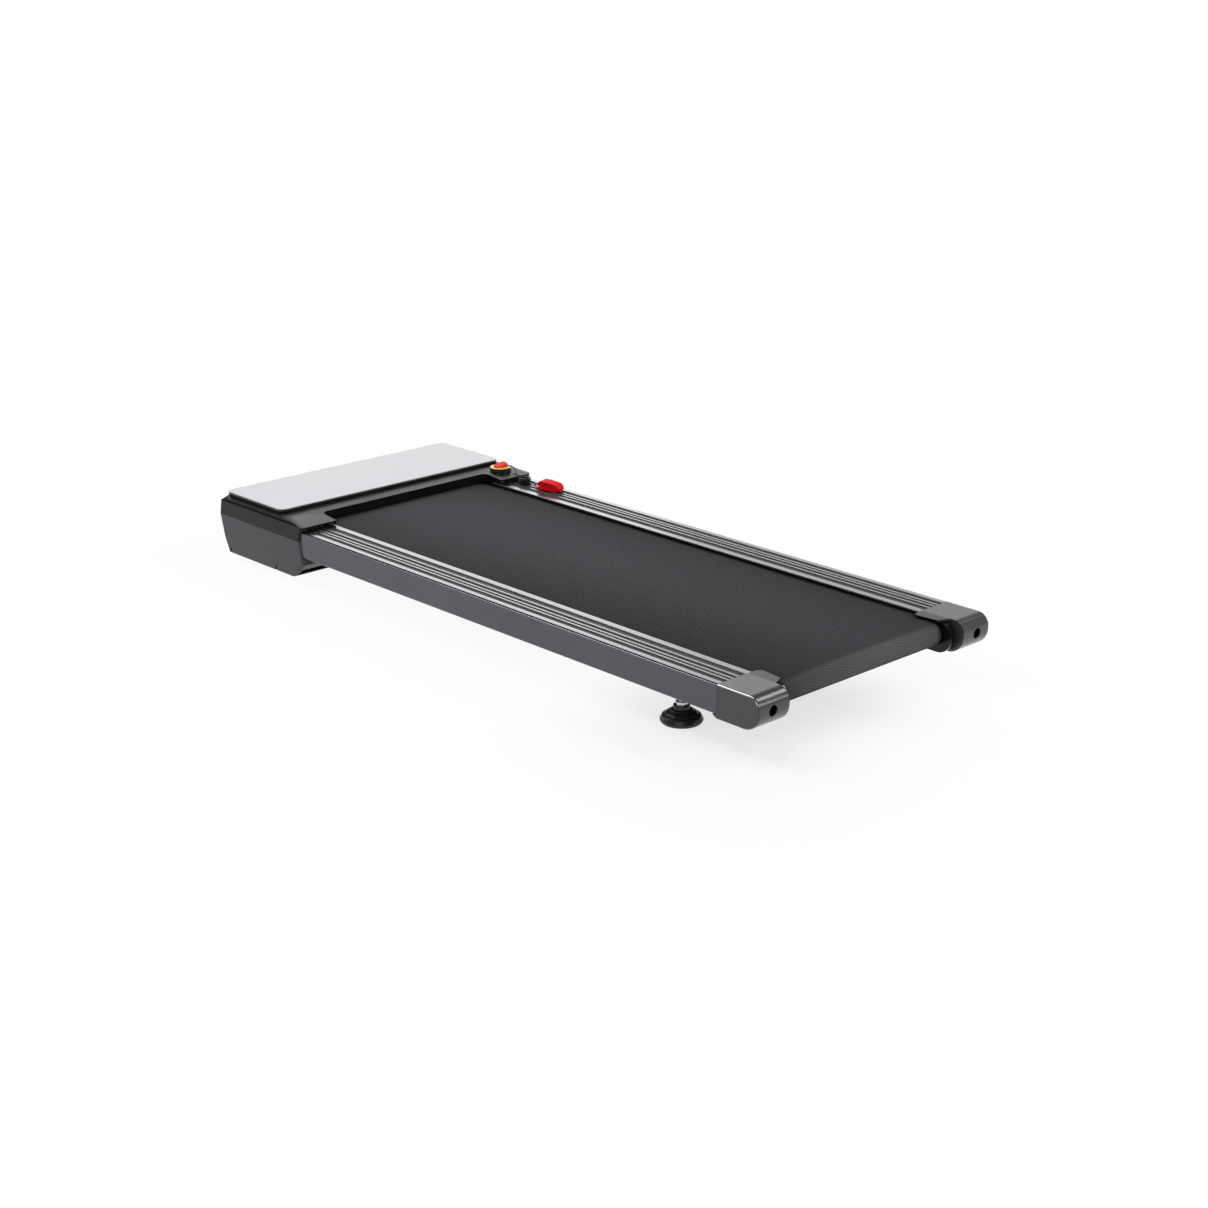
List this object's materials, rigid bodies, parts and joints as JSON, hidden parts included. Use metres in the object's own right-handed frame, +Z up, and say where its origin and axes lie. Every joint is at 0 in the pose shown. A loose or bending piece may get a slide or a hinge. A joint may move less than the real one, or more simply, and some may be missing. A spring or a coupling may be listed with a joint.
{
  "type": "walking pad",
  "caption": "flat under-desk treadmill: belt over rollers between side rails, motor housing at one end, levelling feet, pull-off safety key on a lanyard with a garment clip",
  "frame": {"origin": "on the floor under the middle of the pad", "axes": "+X to the right of a walker facing the motor housing, +Y to the front (motor housing), +Z up"},
  "size_m": [0.5276, 1.316, 0.124],
  "materials": {
    "rail_paint": "satin charcoal",
    "foot_rail_metal": "black anodised with bright rib tops",
    "cap_plastic": "satin black",
    "cover_plastic": "satin charcoal",
    "plate_paint": "satin light grey",
    "frame_plastic": "matt black",
    "belt_fabric": "fine embossed",
    "deck_wood": "waxed fibreboard",
    "black_rubber": "matt",
    "steel": "zinc plated",
    "black_steel": "powder coated",
    "foot_plastic": "matt black",
    "motor_paint": "satin black",
    "pulley_metal": "machined",
    "board_green": "solder mask",
    "socket_plastic": "gloss black",
    "switch_red": "gloss red",
    "key_yellow": "gloss yellow",
    "key_red": "gloss red",
    "clip_red": "gloss red",
    "cord_black": "round braid",
    "ferrule_white": "gloss white"
  },
  "bodies": {
    "frame": {"side_rail_left": "rail_paint", "side_rail_right": "rail_paint", "foot_rail_left": "foot_rail_metal", "foot_rail_right": "foot_rail_metal", "cross_members": "black_steel", "deck_board": "deck_wood", "deck_cushions": "black_rubber", "deck_bolts": "steel", "walking_belt": "belt_fabric", "rear_shaft": "steel", "front_shaft": "steel", "front_axle_block_left": "black_steel", "front_axle_block_right": "black_steel", "end_cap_left": "cap_plastic", "end_cap_right": "cap_plastic", "rear_axle_bracket_left": "black_steel", "rear_axle_bracket_right": "black_steel", "motor_cover": "cover_plastic", "plate_frame": "frame_plastic", "top_plate": "plate_paint", "belly_pan": "black_steel", "motor_case": "motor_paint", "drive_belt": "black_rubber", "motor_mount": "black_steel", "controller_board": "board_green", "heat_sink": "pulley_metal", "power_panel": "frame_plastic", "power_inlet": "socket_plastic", "switch_body": "socket_plastic", "wheel_axles": "steel", "front_feet": "black_rubber", "foot_nuts": "steel", "key_socket": "socket_plastic", "lanyard_lead": "cord_black", "lanyard_coil": "cord_black", "lanyard_tail": "cord_black", "lanyard_ferrule": "ferrule_white", "clip_lower_jaw": "clip_red", "clip_pin": "steel", "clip_spring": "steel"},
    "front_roller": {"front_roller": "steel", "front_roller_bearings": "steel", "roller_pulley": "pulley_metal"},
    "rear_roller": {"rear_roller": "steel", "rear_roller_bearings": "steel"},
    "motor_rotor": {"motor_shaft": "steel", "motor_pulley": "pulley_metal"},
    "transport_wheel_left": {"transport_wheel_left": "foot_plastic"},
    "transport_wheel_right": {"transport_wheel_right": "foot_plastic"},
    "levelling_foot_left": {"foot_pad_left": "foot_plastic", "foot_stud_left": "steel"},
    "levelling_foot_right": {"foot_pad_right": "foot_plastic", "foot_stud_right": "steel"},
    "adjust_bolt_left": {"adjust_bolt_left": "steel"},
    "adjust_bolt_right": {"adjust_bolt_right": "steel"},
    "safety_key": {"key_disc": "key_yellow", "key_magnet": "steel", "key_grip": "key_red"},
    "clip_jaw": {"clip_upper_jaw": "clip_red"},
    "switch_rocker": {"switch_rocker": "switch_red"}
  },
  "joints": [
    {"name": "front_roller_spin", "type": "hinge", "parent": "frame", "child": "front_roller", "pos_m": [0, 0.49, 0.0713], "axis": [1, 0, 0], "continuous": true},
    {"name": "rear_roller_spin", "type": "hinge", "parent": "frame", "child": "rear_roller", "pos_m": [0, -0.6087, 0.0713], "axis": [1, 0, 0], "continuous": true},
    {"name": "motor_spin", "type": "hinge", "parent": "frame", "child": "motor_rotor", "pos_m": [0, 0.566, 0.06], "axis": [1, 0, 0], "continuous": true},
    {"name": "transport_wheel_left_spin", "type": "hinge", "parent": "frame", "child": "transport_wheel_left", "pos_m": [-0.215, 0.604, 0.024], "axis": [1, 0, 0], "continuous": true},
    {"name": "transport_wheel_right_spin", "type": "hinge", "parent": "frame", "child": "transport_wheel_right", "pos_m": [0.215, 0.604, 0.024], "axis": [1, 0, 0], "continuous": true},
    {"name": "levelling_foot_left_screw", "type": "slide", "parent": "frame", "child": "levelling_foot_left", "axis": [0, 0, 1], "range_m": [-0.012, 0.01]},
    {"name": "levelling_foot_right_screw", "type": "slide", "parent": "frame", "child": "levelling_foot_right", "axis": [0, 0, 1], "range_m": [-0.012, 0.01]},
    {"name": "adjust_bolt_left_turn", "type": "hinge", "parent": "frame", "child": "adjust_bolt_left", "pos_m": [-0.23, -0.641, 0.0713], "axis": [0, 1, 0], "range_deg": [-90, 90]},
    {"name": "adjust_bolt_right_turn", "type": "hinge", "parent": "frame", "child": "adjust_bolt_right", "pos_m": [0.23, -0.641, 0.0713], "axis": [0, 1, 0], "range_deg": [-90, 90]},
    {"name": "key_pull", "type": "slide", "parent": "frame", "child": "safety_key", "axis": [0, 0, 1], "range_m": [0, 0.03], "deforming": ["lanyard_lead"]},
    {"name": "clip_jaw_open", "type": "hinge", "parent": "frame", "child": "clip_jaw", "pos_m": [0.23087, 0.31891, 0.1058], "axis": [-0.9703, -0.2419, 0], "range_deg": [0, 8], "stiffness_Nm_per_rad": 0.3, "springref_deg": -17.19},
    {"name": "power_switch_rock", "type": "hinge", "parent": "frame", "child": "switch_rocker", "pos_m": [0.1824, 0.642, 0.057], "axis": [1, 0, 0], "range_deg": [0, 20]}
  ],
  "couplings": [
    {"joint": "rear_roller_spin", "follows": "front_roller_spin", "ratio": 1},
    {"joint": "motor_spin", "follows": "front_roller_spin", "ratio": 2.7273}
  ]
}
